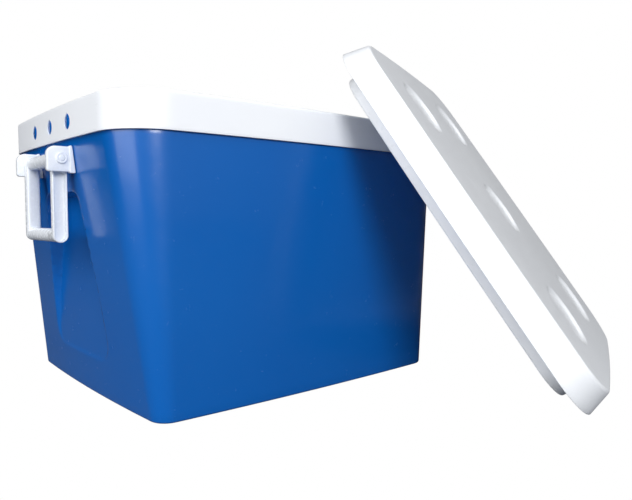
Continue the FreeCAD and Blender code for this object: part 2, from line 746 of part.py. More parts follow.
os.makedirs("parts", exist_ok=True)
for node in nodes:
    node.Shape.exportStep(f"parts/{node.Label}.step")
    print(f"{node.Label}: {len(node.Shape.Solids)} solid, {node.Shape.Volume / 1000:.1f} cm3")
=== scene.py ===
import json
import math

import bpy
import numpy as np
from mathutils import Matrix, Vector


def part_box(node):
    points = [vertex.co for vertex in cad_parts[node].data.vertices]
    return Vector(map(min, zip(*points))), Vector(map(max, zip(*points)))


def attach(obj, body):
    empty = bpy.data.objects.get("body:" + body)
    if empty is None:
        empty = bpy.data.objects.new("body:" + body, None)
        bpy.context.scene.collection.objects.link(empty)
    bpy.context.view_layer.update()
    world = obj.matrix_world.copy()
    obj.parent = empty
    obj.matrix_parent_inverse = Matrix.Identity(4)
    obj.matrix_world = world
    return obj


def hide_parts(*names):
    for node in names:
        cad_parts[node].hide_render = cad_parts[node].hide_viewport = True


# A picnic cooler chest: blue tub, white collar, loose white lid leaning on it, and a white
# bail handle on each end. Lengths are in metres, in the frame's own axes.

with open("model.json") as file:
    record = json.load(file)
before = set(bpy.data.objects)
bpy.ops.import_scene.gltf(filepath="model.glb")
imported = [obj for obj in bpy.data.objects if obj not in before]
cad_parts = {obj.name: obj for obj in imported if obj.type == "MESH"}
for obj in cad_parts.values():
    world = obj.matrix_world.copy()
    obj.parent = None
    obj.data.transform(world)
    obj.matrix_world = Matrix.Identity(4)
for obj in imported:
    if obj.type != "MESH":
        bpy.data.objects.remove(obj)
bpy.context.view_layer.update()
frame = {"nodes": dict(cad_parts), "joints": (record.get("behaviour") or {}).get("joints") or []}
print("frame loaded:", len(frame["nodes"]), "nodes")

mm = 0.001
sharpAngle = 50  # degrees between faces above which an edge stays crisp
joints = {joint["name"]: joint for joint in frame["joints"]}
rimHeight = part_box("collar")[1].z
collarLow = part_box("collar")[0].z

# The outline that every level of the tub and lid shares is a rounded rectangle whose four
# sides bow outwards a little. These are the radii of those bows.
outlineSizes = {"sideBow": 4.0, "endBow": 3.0}


# Columns round an outline: eight arcs, starting with the +X end, each cut into equal shares.
def outlineColumns(endCount, cornerCount, sideCount):
    counts = [endCount, cornerCount, sideCount, cornerCount] * 2
    arc = np.repeat(np.arange(8), counts)
    share = np.concatenate([np.arange(count) / count for count in counts])
    return arc, share


# Centre of the corner arc in +X +Y: it touches both bows, so it is where the circle of radius
# (bow - corner) about one bow's centre crosses the same circle about the other's.
def cornerCentre(length, width, corner):
    reachSide, reachEnd = outlineSizes["sideBow"] - corner, outlineSizes["endBow"] - corner
    sideOff, endOff = outlineSizes["sideBow"] - width / 2, outlineSizes["endBow"] - length / 2
    gap = np.hypot(sideOff, endOff)
    along = (reachSide ** 2 - reachEnd ** 2 + gap ** 2) / (2 * gap)
    off = np.sqrt(reachSide ** 2 - along ** 2)
    u, v = -endOff / gap, sideOff / gap
    return along * u + off * v, along * v - off * u - sideOff


# Bowed outline, one row for each length: a point is its arc's centre plus the arc's radius
# times (cos a, sin a), with a running evenly from the arc's start to its end.
def bowedOutline(length, width, corner, columns):
    length, width, corner = np.broadcast_arrays(*(np.atleast_1d(v).astype(float)
                                                  for v in (length, width, corner)))
    x, y = cornerCentre(length, width, corner)
    sideOff, endOff = outlineSizes["sideBow"] - width / 2, outlineSizes["endBow"] - length / 2
    endTurn, sideTurn = np.arctan2(y, x + endOff), np.arctan2(y + sideOff, x)
    none, half = np.zeros_like(x), np.full_like(x, math.pi)
    bounds = np.stack([-endTurn, endTurn, sideTurn, half - sideTurn, half - endTurn, half + endTurn,
                       half + sideTurn, 2 * half - sideTurn, 2 * half - endTurn], 1)
    centreX = np.stack([-endOff, x, none, -x, endOff, -x, none, x], 1)
    centreY = np.stack([none, y, -sideOff, y, none, -y, sideOff, -y], 1)
    endBow, sideBow = (np.full_like(x, outlineSizes[bow]) for bow in ("endBow", "sideBow"))
    radius = np.stack([endBow, corner, sideBow, corner] * 2, 1)
    arc, share = columns
    turn = bounds[:, arc] + (bounds[:, arc + 1] - bounds[:, arc]) * share
    return np.stack([centreX[:, arc] + radius[:, arc] * np.cos(turn),
                     centreY[:, arc] + radius[:, arc] * np.sin(turn)], 2)


# Outline round circles given as (u, v, radius): in each direction n it takes the circle with
# the largest (centre . n + radius), and the point on it that faces n.
def hullOutline(circles, count, grow=0.0):
    turn = np.arange(count) * 2 * math.pi / count
    facing = np.stack([np.cos(turn), np.sin(turn)], 1)
    circles = np.array(circles, float)
    reach = facing @ circles[:, :2].T + circles[:, 2]
    chosen = circles[np.argmax(reach, 1)]
    return chosen[:, :2] + facing * (chosen[:, 2:] + grow)


# A quarter round of a given radius in some steps, as (outwards, upwards) from its start: it
# leaves along the first axis and arrives along the second.
def quarterRound(radius, steps=5):
    turn = np.linspace(0, math.pi / 2, steps + 1)
    return np.stack([radius * np.sin(turn), radius * (1 - np.cos(turn))], 1)


# Mesh from rows of points, each row a closed loop: quads join a row to the next, and a pole at
# the middle closes each open end. "ring" joins the last row to the first instead.
def loopMesh(name, rows, ring=False):
    rows = np.asarray(rows, float)
    count, across = rows.shape[:2]
    index = np.arange(count * across).reshape(count, across)
    if ring:
        index = np.vstack([index, index[:1]])
    here, after = index[:-1], index[1:]
    quads = np.stack([here, np.roll(here, -1, 1), np.roll(after, -1, 1), after], 2).reshape(-1, 4)
    points = rows.reshape(-1, 3)
    triangles = np.zeros((0, 3), int)
    if not ring:
        first, last = index[0], index[-1]
        poles = np.stack([rows[0].mean(0), rows[-1].mean(0)])
        start = np.full(across, len(points))
        triangles = np.vstack([np.stack([start, np.roll(first, -1), first], 1),
                               np.stack([start + 1, last, np.roll(last, -1)], 1)])
        points = np.vstack([points, poles])
    corners = points[quads]
    volume = np.einsum("ij,ij->", np.cross(corners[:, 0], corners[:, 1]), corners[:, 2])
    volume += np.einsum("ij,ij->", np.cross(corners[:, 0], corners[:, 2]), corners[:, 3])
    if len(triangles):
        fan = points[triangles]
        volume += np.einsum("ij,ij->", np.cross(fan[:, 0], fan[:, 1]), fan[:, 2])
    if volume < 0:  # faces point outwards
        quads, triangles = quads[:, ::-1], triangles[:, ::-1]
    mesh = bpy.data.meshes.new(name)
    mesh.from_pydata(points.tolist(), [], quads.tolist() + triangles.tolist())
    mesh.validate()
    return mesh


def addPiece(name, mesh, material, body, nodes):
    mesh.polygons.foreach_set("use_smooth", np.ones(len(mesh.polygons), bool))
    mesh.set_sharp_from_angle(angle=math.radians(sharpAngle))
    mesh.materials.clear()
    mesh.materials.append(material)
    piece = bpy.data.objects.new(name, mesh)
    bpy.context.scene.collection.objects.link(piece)
    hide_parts(*nodes)
    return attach(piece, body)


# The mesh that is left when "first" is joined with, or cut by, each of the other meshes.
def combineMeshes(first, others, operation):
    base = bpy.data.objects.new("base", first)
    bpy.context.scene.collection.objects.link(base)
    helpers = [base]
    for mesh in others:
        helper = bpy.data.objects.new("helper", mesh)
        bpy.context.scene.collection.objects.link(helper)
        helpers.append(helper)
        modifier = base.modifiers.new("combine", "BOOLEAN")
        modifier.object, modifier.operation, modifier.solver = helper, operation, "EXACT"
    depsgraph = bpy.context.evaluated_depsgraph_get()
    made = bpy.data.meshes.new_from_object(base.evaluated_get(depsgraph))
    for helper in helpers:
        bpy.data.objects.remove(helper)
    return made


def linearColour(code):
    share = np.array([int(code[i:i + 2], 16) for i in (1, 3, 5)]) / 255
    low, high = share / 12.92, ((share + 0.055) / 1.055) ** 2.4
    return (*np.where(share <= 0.04045, low, high), 1.0)


# Adds a node, sets it up, and links or sets its inputs.
def addNode(tree, kind, inputs, **settings):
    node = tree.nodes.new(kind)
    for setting, value in settings.items():
        setattr(node, setting, value)
    for socket, value in inputs.items():
        if isinstance(value, bpy.types.NodeSocket):
            tree.links.new(value, node.inputs[socket])
        else:
            node.inputs[socket].default_value = value
    return node


# The mix of two colours, from the first at a factor of 0 to the second at 1. The colour sockets of
# a mix node share their names with its number sockets, so they are picked by their places.
def mixColours(tree, factor, first, second):
    node = addNode(tree, "ShaderNodeMix", {"Factor": factor, 6: linearColour(first),
                                           7: linearColour(second)}, data_type="RGBA")
    return node.outputs[2]


# Moulded plastic: two close shades in broad soft clouds, a fine moulded grain, a slow waviness
# that bends reflections as thin moulded walls do, and a roughness that varies a little.
def mouldedPlastic(name, look):
    material = bpy.data.materials.new(name)
    material.use_nodes = True
    tree = material.node_tree
    tree.nodes.clear()
    place = addNode(tree, "ShaderNodeTexCoord", {}).outputs["Object"]
    clouds = addNode(tree, "ShaderNodeTexNoise",
                     {"Vector": place, "Scale": 1 / look["cloudSize"], "Detail": 2.0})
    colour = mixColours(tree, clouds.outputs["Fac"], look["shade"], look["tint"])
    scuffs = addNode(tree, "ShaderNodeTexNoise",
                     {"Vector": place, "Scale": 1 / look["scuffSize"], "Detail": 6.0,
                      "Roughness": 0.7})
    rough = addNode(tree, "ShaderNodeMapRange",
                    {"Value": scuffs.outputs["Fac"], "From Min": 0.3, "From Max": 0.7,
                     "To Min": look["roughness"] - look["roughnessSpread"],
                     "To Max": look["roughness"] + look["roughnessSpread"]})
    waves = addNode(tree, "ShaderNodeTexNoise",
                    {"Vector": place, "Scale": 1 / look["waveSize"], "Detail": 1.0})
    waveBump = addNode(tree, "ShaderNodeBump",
                       {"Height": waves.outputs["Fac"], "Distance": look["waveDepth"]})
    grain = addNode(tree, "ShaderNodeTexNoise",
                    {"Vector": place, "Scale": 1 / look["grainSize"], "Detail": 2.0})
    grainBump = addNode(tree, "ShaderNodeBump",
                        {"Height": grain.outputs["Fac"], "Distance": look["grainDepth"],
                         "Normal": waveBump.outputs["Normal"]})
    shader = addNode(tree, "ShaderNodeBsdfPrincipled",
                     {"Base Color": colour, "Roughness": rough.outputs["Result"],
                      "IOR": look["ior"], "Coat Weight": look["coat"], "Coat Roughness": 0.08,
                      "Normal": grainBump.outputs["Normal"]})
    addNode(tree, "ShaderNodeOutputMaterial", {"Surface": shader.outputs["BSDF"]})
    return material


# High-density polyethylene, injection moulded with a polished mould: deep blue and glossy.
shellPlastic = mouldedPlastic("mouldedBluePolyethylene", {
    "shade": "#0057A9", "tint": "#005DAF", "cloudSize": 180 * mm, "scuffSize": 14 * mm,
    "roughness": 0.24, "roughnessSpread": 0.04, "waveSize": 120 * mm, "waveDepth": 0.8 * mm,
    "grainSize": 1.4 * mm, "grainDepth": 0.01 * mm, "ior": 1.51, "coat": 0.15})
# The same plastic in white, satin from its mould.
collarPlastic = mouldedPlastic("mouldedWhitePolyethylene", {
    "shade": "#EAEDF3", "tint": "#F2F5F9", "cloudSize": 150 * mm, "scuffSize": 12 * mm,
    "roughness": 0.32, "roughnessSpread": 0.05, "waveSize": 90 * mm, "waveDepth": 0.4 * mm,
    "grainSize": 1.2 * mm, "grainDepth": 0.012 * mm, "ior": 1.51, "coat": 0.1})
# The lid's top has a slightly coarser mould finish that hides scratches.
lidPlastic = mouldedPlastic("mouldedWhiteLid", {
    "shade": "#E5E8ED", "tint": "#EDF0F4", "cloudSize": 140 * mm, "scuffSize": 10 * mm,
    "roughness": 0.34, "roughnessSpread": 0.06, "waveSize": 80 * mm, "waveDepth": 0.5 * mm,
    "grainSize": 1.6 * mm, "grainDepth": 0.02 * mm, "ior": 1.51, "coat": 0.1})
# Food-safe white liner, smooth and a little warmer.
linerPlastic = mouldedPlastic("mouldedWhiteLiner", {
    "shade": "#ECEFF3", "tint": "#F4F6F8", "cloudSize": 120 * mm, "scuffSize": 16 * mm,
    "roughness": 0.3, "roughnessSpread": 0.05, "waveSize": 100 * mm, "waveDepth": 0.5 * mm,
    "grainSize": 1.2 * mm, "grainDepth": 0.01 * mm, "ior": 1.51, "coat": 0.1})
# Polypropylene handle parts: harder, so glossier on their rounded edges.
handlePlastic = mouldedPlastic("mouldedWhitePolypropylene", {
    "shade": "#E2E7EE", "tint": "#EBEFF5", "cloudSize": 40 * mm, "scuffSize": 6 * mm,
    "roughness": 0.26, "roughnessSpread": 0.05, "waveSize": 30 * mm, "waveDepth": 0.15 * mm,
    "grainSize": 0.8 * mm, "grainDepth": 0.008 * mm, "ior": 1.49, "coat": 0.15})
# Rigid polyurethane foam, pale yellow, with closed cells of about a millimetre.
foamCore = mouldedPlastic("polyurethaneFoam", {
    "shade": "#E3D9AE", "tint": "#EFE7C4", "cloudSize": 60 * mm, "scuffSize": 5 * mm,
    "roughness": 0.85, "roughnessSpread": 0.08, "waveSize": 20 * mm, "waveDepth": 1.0 * mm,
    "grainSize": 1.5 * mm, "grainDepth": 0.5 * mm, "ior": 1.45, "coat": 0.0})


# Zinc-plated steel with faint turned rings: a noise that changes fastest along the screw's axis.
def platedSteel(name, look):
    material = bpy.data.materials.new(name)
    material.use_nodes = True
    tree = material.node_tree
    tree.nodes.clear()
    place = addNode(tree, "ShaderNodeTexCoord", {}).outputs["Object"]
    stretched = addNode(tree, "ShaderNodeMapping", {"Vector": place, "Scale": look["stretch"]})
    rings = addNode(tree, "ShaderNodeTexNoise",
                    {"Vector": stretched.outputs["Vector"], "Scale": 1 / look["ringSize"]})
    bump = addNode(tree, "ShaderNodeBump",
                   {"Height": rings.outputs["Fac"], "Distance": look["ringDepth"]})
    shader = addNode(tree, "ShaderNodeBsdfPrincipled",
                     {"Base Color": linearColour(look["colour"]), "Metallic": 1.0,
                      "Roughness": look["roughness"], "Normal": bump.outputs["Normal"]})
    addNode(tree, "ShaderNodeOutputMaterial", {"Surface": shader.outputs["BSDF"]})
    return material


screwSteel = platedSteel("zincPlatedSteel", {"colour": "#C4C6C9", "roughness": 0.32,
                                             "stretch": (8.0, 1.0, 1.0), "ringSize": 2 * mm,
                                             "ringDepth": 0.05 * mm})
print("materials made")

tub = {
    "baseLength": 418 * mm, "baseWidth": 374.5 * mm, "baseCorner": 21 * mm, "baseEdge": 3 * mm,
    "shoulderHeight": collarLow + 2 * mm, "shoulderEdge": 1.2 * mm, "neckStep": 4 * mm,
    "wall": 3 * mm, "deckLow": rimHeight - 4 * mm,
    "recessPlane": 213 * mm, "recessRun": 5 * mm,
    # behind the recess the inside steps in, up to this height and out to this half width
    "stepHeight": 245 * mm, "stepReach": 94 * mm,
    "recessCircles": [(-60 * mm, 68 * mm, 24 * mm), (60 * mm, 68 * mm, 24 * mm),
                      (40 * mm, 217 * mm, 18 * mm), (-40 * mm, 217 * mm, 18 * mm)],
    "recessSteps": 96,
    "innerLevels": [level * mm for level in (289, 275, 248, 241, 200, 150, 100, 60, 35, 6, 3)],
}
collar = {
    "length": 2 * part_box("collar")[1].x, "width": 2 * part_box("collar")[1].y, "corner": 57 * mm,
    "wall": 2.5 * mm, "deck": 4 * mm, "edge": 3 * mm, "lip": 0.5 * mm,
    "mouthLength": 438 * mm, "mouthWidth": 353 * mm, "mouthCorner": 42 * mm, "mouthEdge": 1.5 * mm,
    "windowCircles": [(308.8 * mm, 8 * mm), (316.5 * mm, 1.5 * mm)], "windowPitch": 58 * mm,
    "windowCut": (-12 * mm, 8 * mm),  # from inside the collar to outside it
    "catchClearance": 0.3 * mm, "catchSetBack": 0.8 * mm, "catchEdge": 0.4 * mm,
    "catchRoot": 1.5 * mm, "catchReach": 6 * mm, "windowSteps": 48,
}
shoulderInset = 3.5 * mm


# The wall's length at each height: it grows evenly from the base to the shoulder.
def wallLength(height):
    share = np.asarray(height, float) / tub["shoulderHeight"]
    return tub["baseLength"] + (collar["length"] - 2 * shoulderInset - tub["baseLength"]) * share


# The wall's outline at each height: its width and corner grow as its length does, and an inset
# moves it inwards.
def wallOutline(height, inset, columns):
    share = np.asarray(height, float) / tub["shoulderHeight"]
    width = tub["baseWidth"] + (collar["width"] - 2 * shoulderInset - tub["baseWidth"]) * share
    corner = tub["baseCorner"] + (collar["corner"] - shoulderInset - tub["baseCorner"]) * share
    return bowedOutline(wallLength(height) - 2 * inset, width - 2 * inset, corner - inset, columns)


def collarOutline(inset, columns):
    return bowedOutline(collar["length"] - 2 * inset, collar["width"] - 2 * inset,
                        collar["corner"] - inset, columns)


def mouthOutline(grow, columns):
    return bowedOutline(collar["mouthLength"] + 2 * grow, collar["mouthWidth"] + 2 * grow,
                        collar["mouthCorner"] + grow, columns)


# Rows at their heights: each outline row gets its own z.
def atHeights(outlines, heights):
    heights = np.broadcast_to(np.asarray(heights, float)[:, None], outlines.shape[:2])
    return np.dstack([outlines, heights])


# How deep a point (y, z) lies inside the recess's outline: the least distance to a tangent
# line, over every direction. It is negative outside.
def recessDepthInside(y, z):
    turn = np.arange(tub["recessSteps"]) * 2 * math.pi / tub["recessSteps"]
    facing = np.stack([np.cos(turn), np.sin(turn)])
    circles = np.array(tub["recessCircles"])
    reach = (circles[:, :2] @ facing + circles[:, 2:]).max(0)
    return (reach - y[..., None] * facing[0] - z[..., None] * facing[1]).min(-1)


def smoothStep(share):
    share = np.clip(share, 0, 1)
    return share * share * (3 - 2 * share)


# Outlines (y, z) of the drop-shaped windows in one end of the collar, grown all round.
def windowDrops(grow):
    circles = [(0.0, height, radius) for height, radius in collar["windowCircles"]]
    return [hullOutline(circles, collar["windowSteps"], grow) + [collar["windowPitch"] * place, 0]
            for place in (-1, 0, 1)]


# Points (y, z) of an outline in the YZ plane, at a place x.
def endRow(outline, x):
    return np.column_stack([np.full(len(outline), x), outline])


# Outer shell: the tapered wall, pushed inwards to the recess's upright plane wherever a point
# lies inside the recess, with a soft edge. The inside is a plainer wall that steps behind it.
# Three catches on each end of its neck fill the collar's windows.
def makeShell():
    columns = outlineColumns(150, 16, 26)
    edge = quarterRound(tub["baseEdge"])
    shoulder = tub["shoulderHeight"]
    # levels stand close together over the recess, and wider apart below and above it
    levels = np.concatenate([np.arange(12, 40, 5), np.arange(40, 240, 1.7),
                             np.arange(244, 290, 6)]) * mm
    heights = np.concatenate([edge[:, 1], levels, [shoulder - tub["shoulderEdge"]]])
    insets = np.concatenate([tub["baseEdge"] - edge[:, 0], np.zeros(len(heights) - len(edge))])
    outer = atHeights(wallOutline(heights, insets, columns), heights)
    depth = np.clip(np.abs(outer[..., 0]) - tub["recessPlane"], 0, None)
    inside = recessDepthInside(outer[..., 1], outer[..., 2])
    onEnd = np.isin(columns[0], (0, 4))
    push = depth * smoothStep(inside / tub["recessRun"]) * onEnd
    outer[..., 0] -= np.sign(outer[..., 0]) * push

    bend = quarterRound(tub["shoulderEdge"], 3)
    neck = shoulderInset + tub["neckStep"]
    topInsets = np.concatenate([shoulderInset + bend[1:, 1],
                                [neck, neck, neck + tub["wall"], neck + tub["wall"]]])
    topHeights = np.concatenate([shoulder - tub["shoulderEdge"] + bend[1:, 0],
                                 [shoulder, tub["deckLow"], tub["deckLow"],
                                  shoulder - tub["wall"]]])
    top = np.concatenate([atHeights(collarOutline(inset, columns), [height])
                          for inset, height in zip(topInsets, topHeights)])

    innerHeights = np.array(tub["innerLevels"])
    inner = atHeights(wallOutline(innerHeights, tub["wall"], columns), innerHeights)
    behind = smoothStep((tub["stepHeight"] - innerHeights) / tub["recessRun"])[:, None]
    behind = behind * smoothStep((tub["stepReach"] - np.abs(inner[..., 1])) / tub["recessRun"])
    over = np.clip(np.abs(inner[..., 0]) - tub["recessPlane"] + tub["wall"], 0, None)
    inner[..., 0] -= np.sign(inner[..., 0]) * over * behind * onEnd

    halfSize = np.array([0.5, 0.5, 1.0])  # a smaller row inside each flat face
    shell = loopMesh("outerShell", np.concatenate([outer[:1] * halfSize, outer, top, inner,
                                                   inner[-1:] * halfSize]))
    edge, face = collar["catchEdge"], collar["length"] / 2 - collar["catchSetBack"]
    root = collar["length"] / 2 - neck - collar["catchRoot"]
    catches = []
    for drop in windowDrops(-collar["catchClearance"]):
        middle = drop.mean(0)
        tip = middle + (drop - middle) * (1 - edge / collar["catchReach"])
        for end in (-1, 1):
            rows = [endRow(drop, root * end), endRow(drop, (face - edge) * end),
                    endRow(tip, face * end)]
            catches.append(loopMesh("catch", rows))
    return combineMeshes(shell, catches, "UNION")


addPiece("outerShell", makeShell(), shellPlastic, "tub", ["outer_shell"])
print("outer shell made")


# Collar: a closed profile carried round the outline. A row is the collar's outline moved in by
# an inset, blended towards the mouth's outline across the deck.
def makeCollar():
    columns = outlineColumns(80, 20, 90)
    lip, edge, wall = collar["lip"], collar["edge"], collar["wall"]
    mouthEdge, deckLow = collar["mouthEdge"], rimHeight - collar["deck"]
    lipRound, topRound = quarterRound(lip, 3), quarterRound(edge, 6)
    rows = []

    def addRows(insets, heights, blend):
        for inset, height, share in np.broadcast(insets, heights, blend):
            outline = collarOutline(inset * (1 - share), columns) * (1 - share)
            if share:
                outline = outline + mouthOutline(inset, columns) * share
            rows.append(atHeights(outline, [height])[0])

    addRows(lip - lipRound[:, 0], collarLow + lipRound[:, 1], 0)
    addRows(0, np.linspace(collarLow + lip, rimHeight - edge, 12)[1:-1], 0)
    addRows(topRound[:, 1], rimHeight - edge + topRound[:, 0], 0)
    addRows(edge, rimHeight, np.array([0.25, 0.5, 0.75]))
    mouthRound = quarterRound(mouthEdge, 4)
    addRows(mouthEdge - mouthRound[:, 0], rimHeight - mouthRound[:, 1], 1)
    addRows(0, deckLow, 1)
    addRows(wall, deckLow, np.array([0.66, 0.33, 0]))
    addRows(wall, np.linspace(deckLow, collarLow + lip, 9)[1:-1], 0)
    addRows(wall - lipRound[:, 1], collarLow + lip - lipRound[:, 0], 0)
    band = loopMesh("collar", rows, ring=True)

    cutters = []
    for drop in windowDrops(0):
        for end in (-1, 1):
            reach = np.array(collar["windowCut"]) + collar["length"] / 2
            cutters.append(loopMesh("window", [endRow(drop, x * end) for x in reach]))
    return combineMeshes(band, cutters, "DIFFERENCE")


addPiece("collar", makeCollar(), collarPlastic, "tub", ["collar"])
print("collar made")

liner = {
    "floorLength": 345 * mm, "floorWidth": 310 * mm, "floorCorner": 24 * mm, "floorHeight": 26 * mm,
    "floorRound": 8 * mm, "ledgeDepth": 24 * mm, "ledgeWidth": 14 * mm, "ledgeRound": 2 * mm,
    "wall": 2.5 * mm,
}


# Liner: one profile from the middle of its floor, up the tapered wall, over the ledge to the
# top, and back down outside. Its wall's outline grows evenly from the floor to the ledge.
def makeLiner():
    columns = outlineColumns(40, 16, 40)
    low, ledge = liner["floorHeight"], rimHeight - liner["ledgeDepth"]
    top = rimHeight - collar["deck"]
    rows = []

    def cavity(height, grow):
        share = (height - low) / (ledge - low)
        sizes = [small + (large - 2 * liner["ledgeWidth"] - small) * share
                 for small, large in ((liner["floorLength"], collar["mouthLength"]),
                                      (liner["floorWidth"], collar["mouthWidth"]))]
        large = collar["mouthCorner"] - liner["ledgeWidth"]
        corner = liner["floorCorner"] + (large - liner["floorCorner"]) * share
        outline = bowedOutline(sizes[0] + 2 * grow, sizes[1] + 2 * grow, corner + grow, columns)
        rows.append(atHeights(outline, [height])[0])

    def mouth(height, grow):
        rows.append(atHeights(mouthOutline(grow, columns), [height])[0])

    floorRound = quarterRound(liner["floorRound"], 6)
    ledgeRound = quarterRound(liner["ledgeRound"], 4)
    for share in (0.25, 0.5, 0.75):
        cavity(low, 0)
        rows[-1][:, :2] *= share
    for out, up in floorRound:
        cavity(low + up, out - liner["floorRound"])
    for share in np.linspace(0, 1, 14)[1:-1]:
        cavity(low + liner["floorRound"] + (ledge - low - liner["floorRound"]
                                            - liner["ledgeRound"]) * share, 0)
    for out, up in ledgeRound:
        cavity(ledge - liner["ledgeRound"] + out, up)
    for out, up in ledgeRound:
        mouth(ledge + up, out - liner["ledgeRound"])
    for height in np.linspace(ledge + liner["ledgeRound"], top, 5)[1:]:
        mouth(height, 0)
    mouth(top, liner["wall"])
    mouth(ledge - liner["wall"], liner["wall"])
    cavity(ledge - liner["wall"], liner["wall"])
    cavity(low, liner["wall"])
    cavity(low - liner["wall"], liner["wall"] / 2)
    return loopMesh("innerLiner", rows)


addPiece("innerLiner", makeLiner(), linerPlastic, "tub", ["inner_liner"])
print("liner made")

lid = {
    "height": 30 * mm, "inset": 11 * mm, "cornerGrowth": 3 * mm, "wall": 3 * mm, "edge": 3.5 * mm,
    "lip": 0.8 * mm, "dishRadius": 38 * mm, "dishDepth": 3.5 * mm, "dishRun": 6 * mm,
    "dishAlong": 150 * mm, "dishAcross": 78 * mm, "topRings": 99,
    "innerLevels": (21 * mm, 10 * mm, 2 * mm),  # inside the skirt, from its top down
    "plugClearance": 2 * mm, "plugDepth": 14 * mm, "lipWidth": 18 * mm, "panWall": 2.5 * mm,
    "panelHeight": 9 * mm, "panFit": 0.2 * mm, "panRound": 1.6 * mm,
    "turn": -66.2, "slope": 55.4, "shift": -18.5 * mm, "gap": 0.4 * mm,
}


# The lean: local X points down the slope, local Z out of the lid's top. The panel under the lid
# rests on the rounded edge of the collar's corner, and the end of its skirt on the floor.
def leanPlacement():
    turn, slope = math.radians(lid["turn"]), math.radians(lid["slope"])
    ahead = Vector((math.cos(turn), math.sin(turn), 0))
    aside = Vector((-math.sin(turn), math.cos(turn), 0))
    normal = ahead * math.sin(slope) + Vector((0, 0, math.cos(slope)))
    x, y = cornerCentre(collar["length"], collar["width"], collar["corner"])
    support = Vector((x, -y, rimHeight - collar["edge"]))
    support += ahead * (collar["corner"] - collar["edge"]) + normal * collar["edge"]
    rise = math.sin(slope) * collar["length"] / 2
    level = normal.dot(support) - lid["panelHeight"] + lid["gap"]
    place = ahead * ((level - math.cos(slope) * rise) / math.sin(slope))
    place += aside * (aside.dot(support) + lid["shift"])
    place.z = rise
    tilt = Matrix.Rotation(turn, 4, "Z") @ Matrix.Rotation(slope, 4, "Y")
    return Matrix.Translation(place) @ tilt


lean = leanPlacement()


# The lid's outline at a height: it leans in as it rises, while its corner grows.
def lidOutline(height, inset, columns):
    share = height / lid["height"]
    inset = inset + lid["inset"] * share
    return bowedOutline(collar["length"] - 2 * inset, collar["width"] - 2 * inset,
                        collar["corner"] + lid["cornerGrowth"] * share - inset, columns)


# The top's height over its plane: five round dishes with a soft edge.
def dishedTop(points, top):
    places = [(lid["dishAlong"] * i, lid["dishAcross"] * j) for i in (-1, 1) for j in (-1, 1)]
    places.append((0, 0))
    sunk = np.zeros(points.shape[:-1])
    for x, y in places:
        distance = np.hypot(points[..., 0] - x, points[..., 1] - y)
        sunk += smoothStep((lid["dishRadius"] - distance) / lid["dishRun"])
    return np.dstack([points, top - lid["dishDepth"] * sunk])


def makeLidCover():
    columns = outlineColumns(120, 20, 130)
    top, edge, lip = lid["height"], lid["edge"], lid["lip"]
    lipRound, edgeRound = quarterRound(lip, 3), quarterRound(edge, 6)
    rows = [atHeights(lidOutline(up, lip - out, columns), [up]) for out, up in lipRound]
    rows += [atHeights(lidOutline(height, 0, columns), [height])
             for height in np.linspace(lip, top - edge, 7)[1:-1]]
    rows += [atHeights(lidOutline(top - edge + out, up, columns), [top - edge + out])
             for out, up in edgeRound]
    rings = np.linspace(1, 0, lid["topRings"] + 2)[1:-1, None, None]
    rows.append(dishedTop(lidOutline(top, edge, columns) * rings, top))
    ceiling = top - lid["wall"] - lid["dishDepth"]
    inner = [atHeights(lidOutline(ceiling, edge + lid["wall"], columns) * share, [ceiling])
             for share in (0.02, 0.3, 0.7, 1)]
    inner += [atHeights(lidOutline(height, lid["wall"], columns), [height])
              for height in lid["innerLevels"]]
    inner.append(atHeights(lidOutline(0, lid["wall"] - lip, columns), [0]))
    outer, inner = np.concatenate(rows), np.concatenate(inner)
    return loopMesh("lidCover", np.concatenate([outer[::-1], inner[::-1]]))


def plugOutline(inset, columns):
    inset = inset + lid["plugClearance"]
    return bowedOutline(collar["mouthLength"] - 2 * inset, collar["mouthWidth"] - 2 * inset,
                        collar["mouthCorner"] - inset, columns)


# Pan: one profile from the middle of the panel's underside, down and round the lip, out along
# the flange, and back over the top.
def makeLidPan():
    columns = outlineColumns(60, 16, 66)
    wall, depth, width, bend = lid["panWall"], lid["plugDepth"], lid["lipWidth"], lid["panRound"]
    panel = lid["panelHeight"]
    bendRound = quarterRound(bend, 4)
    rows = [atHeights(plugOutline(width, columns) * share, [panel]) for share in (0.3, 0.7)]
    profile = [(width + bend - out, panel - up) for out, up in bendRound]
    profile += [(width - up, -depth + bend - out) for out, up in bendRound]
    profile += [(bend - out, -depth + up) for out, up in bendRound]
    profile += [(-up, -bend + out) for out, up in bendRound]
    rows += [atHeights(plugOutline(inset, columns), [height]) for inset, height in profile]
    fit = lid["wall"] + lid["panFit"]
    rows += [atHeights(lidOutline(height, fit, columns), [height]) for height in (0.0, wall)]
    back = [(wall, wall), (wall, wall - depth), (width - wall, wall - depth),
            (width - wall, panel + wall)]
    rows += [atHeights(plugOutline(inset, columns), [height]) for inset, height in back]
    rows.append(atHeights(plugOutline(width, columns) * 0.4, [panel + wall]))
    return loopMesh("lidPan", np.concatenate(rows))


for name, makeMesh, material, slot, node in (
        ("lidCover", makeLidCover, lidPlastic, "white_lid", "lid_cover"),
        ("lidPan", makeLidPan, linerPlastic, "white_liner", "lid_pan")):
    mesh = makeMesh()
    mesh.transform(lean)
    addPiece(name, mesh, material, "lid", [node])
print("lid made")

